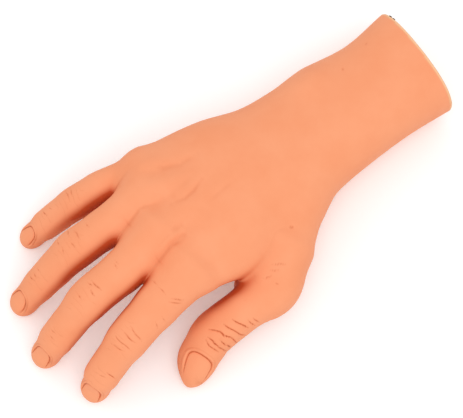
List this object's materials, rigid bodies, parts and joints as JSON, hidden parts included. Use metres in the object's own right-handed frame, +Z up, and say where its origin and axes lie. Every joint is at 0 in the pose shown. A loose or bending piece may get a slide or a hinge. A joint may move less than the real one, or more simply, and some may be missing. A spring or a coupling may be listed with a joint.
{
  "type": "nail practice hand",
  "caption": "Soft life-size practice hand with bendable digits and slotted nail beds for trying false nails, resting palm down on its forearm and fingertips.",
  "frame": {"origin": "middle of the hand's bounding box, on the surface that it lies on", "axes": "+X from the forearm cut to the fingertips, +Y to the thumb side, +Z up to the back of the hand"},
  "size_m": [0.2424, 0.1186, 0.0548],
  "materials": {
    "vinyl_skin": "matte soft vinyl",
    "foam_core": "open-cell foam",
    "iron_wire": "black annealed iron"
  },
  "bodies": {
    "palm": {"palm_skin": "vinyl_skin", "palm_core": "foam_core", "index_palm_wire": "iron_wire", "middle_palm_wire": "iron_wire", "ring_palm_wire": "iron_wire", "little_palm_wire": "iron_wire", "thumb_palm_wire": "iron_wire"},
    "index_proximal": {"index_root_bend": "vinyl_skin", "index_proximal_skin": "vinyl_skin", "index_proximal_wire": "iron_wire"},
    "index_middle": {"index_pip_bend": "vinyl_skin", "index_middle_skin": "vinyl_skin", "index_middle_wire": "iron_wire"},
    "index_tip": {"index_dip_bend": "vinyl_skin", "index_tip_skin": "vinyl_skin", "index_tip_wire": "iron_wire"},
    "middle_proximal": {"middle_root_bend": "vinyl_skin", "middle_proximal_skin": "vinyl_skin", "middle_proximal_wire": "iron_wire"},
    "middle_middle": {"middle_pip_bend": "vinyl_skin", "middle_middle_skin": "vinyl_skin", "middle_middle_wire": "iron_wire"},
    "middle_tip": {"middle_dip_bend": "vinyl_skin", "middle_tip_skin": "vinyl_skin", "middle_tip_wire": "iron_wire"},
    "ring_proximal": {"ring_root_bend": "vinyl_skin", "ring_proximal_skin": "vinyl_skin", "ring_proximal_wire": "iron_wire"},
    "ring_middle": {"ring_pip_bend": "vinyl_skin", "ring_middle_skin": "vinyl_skin", "ring_middle_wire": "iron_wire"},
    "ring_tip": {"ring_dip_bend": "vinyl_skin", "ring_tip_skin": "vinyl_skin", "ring_tip_wire": "iron_wire"},
    "little_proximal": {"little_root_bend": "vinyl_skin", "little_proximal_skin": "vinyl_skin", "little_proximal_wire": "iron_wire"},
    "little_middle": {"little_pip_bend": "vinyl_skin", "little_middle_skin": "vinyl_skin", "little_middle_wire": "iron_wire"},
    "little_tip": {"little_dip_bend": "vinyl_skin", "little_tip_skin": "vinyl_skin", "little_tip_wire": "iron_wire"},
    "thumb_proximal": {"thumb_mcp_bend": "vinyl_skin", "thumb_proximal_skin": "vinyl_skin", "thumb_proximal_wire": "iron_wire"},
    "thumb_tip": {"thumb_ip_bend": "vinyl_skin", "thumb_tip_skin": "vinyl_skin", "thumb_tip_wire": "iron_wire"}
  },
  "joints": [
    {"name": "index_root", "type": "hinge", "parent": "palm", "child": "index_proximal", "pos_m": [0.06183, 0.02161, 0.03771], "axis": [-0.1736, 0.9848, 0], "range_deg": [-25, 45], "deforming": ["index_root_bend"]},
    {"name": "index_pip", "type": "hinge", "parent": "index_proximal", "child": "index_middle", "pos_m": [0.08246, 0.02525, 0.03287], "axis": [-0.1392, 0.9903, 0], "range_deg": [-20, 50], "deforming": ["index_pip_bend"]},
    {"name": "index_dip", "type": "hinge", "parent": "index_middle", "child": "index_tip", "pos_m": [0.10093, 0.02784, 0.01777], "axis": [-0.1392, 0.9903, 0], "range_deg": [-12, 35], "deforming": ["index_dip_bend"]},
    {"name": "middle_root", "type": "hinge", "parent": "palm", "child": "middle_proximal", "pos_m": [0.06383, -0.00049, 0.04051], "axis": [0.0175, 0.9998, 0], "range_deg": [-25, 45], "deforming": ["middle_root_bend"]},
    {"name": "middle_pip", "type": "hinge", "parent": "middle_proximal", "child": "middle_middle", "pos_m": [0.08575, -0.00087, 0.03545], "axis": [-0.0698, 0.9976, 0], "range_deg": [-20, 50], "deforming": ["middle_pip_bend"]},
    {"name": "middle_dip", "type": "hinge", "parent": "middle_middle", "child": "middle_tip", "pos_m": [0.10646, 0.00058, 0.0198], "axis": [0.0523, 0.9986, 0], "range_deg": [-12, 35], "deforming": ["middle_dip_bend"]},
    {"name": "ring_root", "type": "hinge", "parent": "palm", "child": "ring_proximal", "pos_m": [0.05783, -0.02349, 0.03781], "axis": [0.1564, 0.9877, 0], "range_deg": [-25, 45], "deforming": ["ring_root_bend"]},
    {"name": "ring_pip", "type": "hinge", "parent": "ring_proximal", "child": "ring_middle", "pos_m": [0.07556, -0.0263, 0.03333], "axis": [0.0349, 0.9994, 0], "range_deg": [-20, 50], "deforming": ["ring_pip_bend"]},
    {"name": "ring_dip", "type": "hinge", "parent": "ring_middle", "child": "ring_tip", "pos_m": [0.09627, -0.02702, 0.01936], "axis": [0.1045, 0.9945, 0], "range_deg": [-12, 35], "deforming": ["ring_dip_bend"]},
    {"name": "little_root", "type": "hinge", "parent": "palm", "child": "little_proximal", "pos_m": [0.04713, -0.04369, 0.03131], "axis": [0.2756, 0.9613, 0], "range_deg": [-25, 45], "deforming": ["little_root_bend"]},
    {"name": "little_pip", "type": "hinge", "parent": "little_proximal", "child": "little_middle", "pos_m": [0.06023, -0.04745, 0.02635], "axis": [0.2079, 0.9781, 0], "range_deg": [-20, 50], "deforming": ["little_pip_bend"]},
    {"name": "little_dip", "type": "hinge", "parent": "little_middle", "child": "little_tip", "pos_m": [0.07663, -0.05093, 0.01546], "axis": [0.2588, 0.9659, 0], "range_deg": [-12, 35], "deforming": ["little_dip_bend"]},
    {"name": "thumb_mcp", "type": "hinge", "parent": "palm", "child": "thumb_proximal", "pos_m": [0.01083, 0.04611, 0.02331], "axis": [0.1032, 0.985, 0.1381], "range_deg": [-15, 30], "deforming": ["thumb_mcp_bend"]},
    {"name": "thumb_ip", "type": "hinge", "parent": "thumb_proximal", "child": "thumb_tip", "pos_m": [0.04445, 0.04317, 0.01917], "axis": [-0.2733, 0.9543, 0.1205], "range_deg": [-20, 45], "deforming": ["thumb_ip_bend"]}
  ]
}
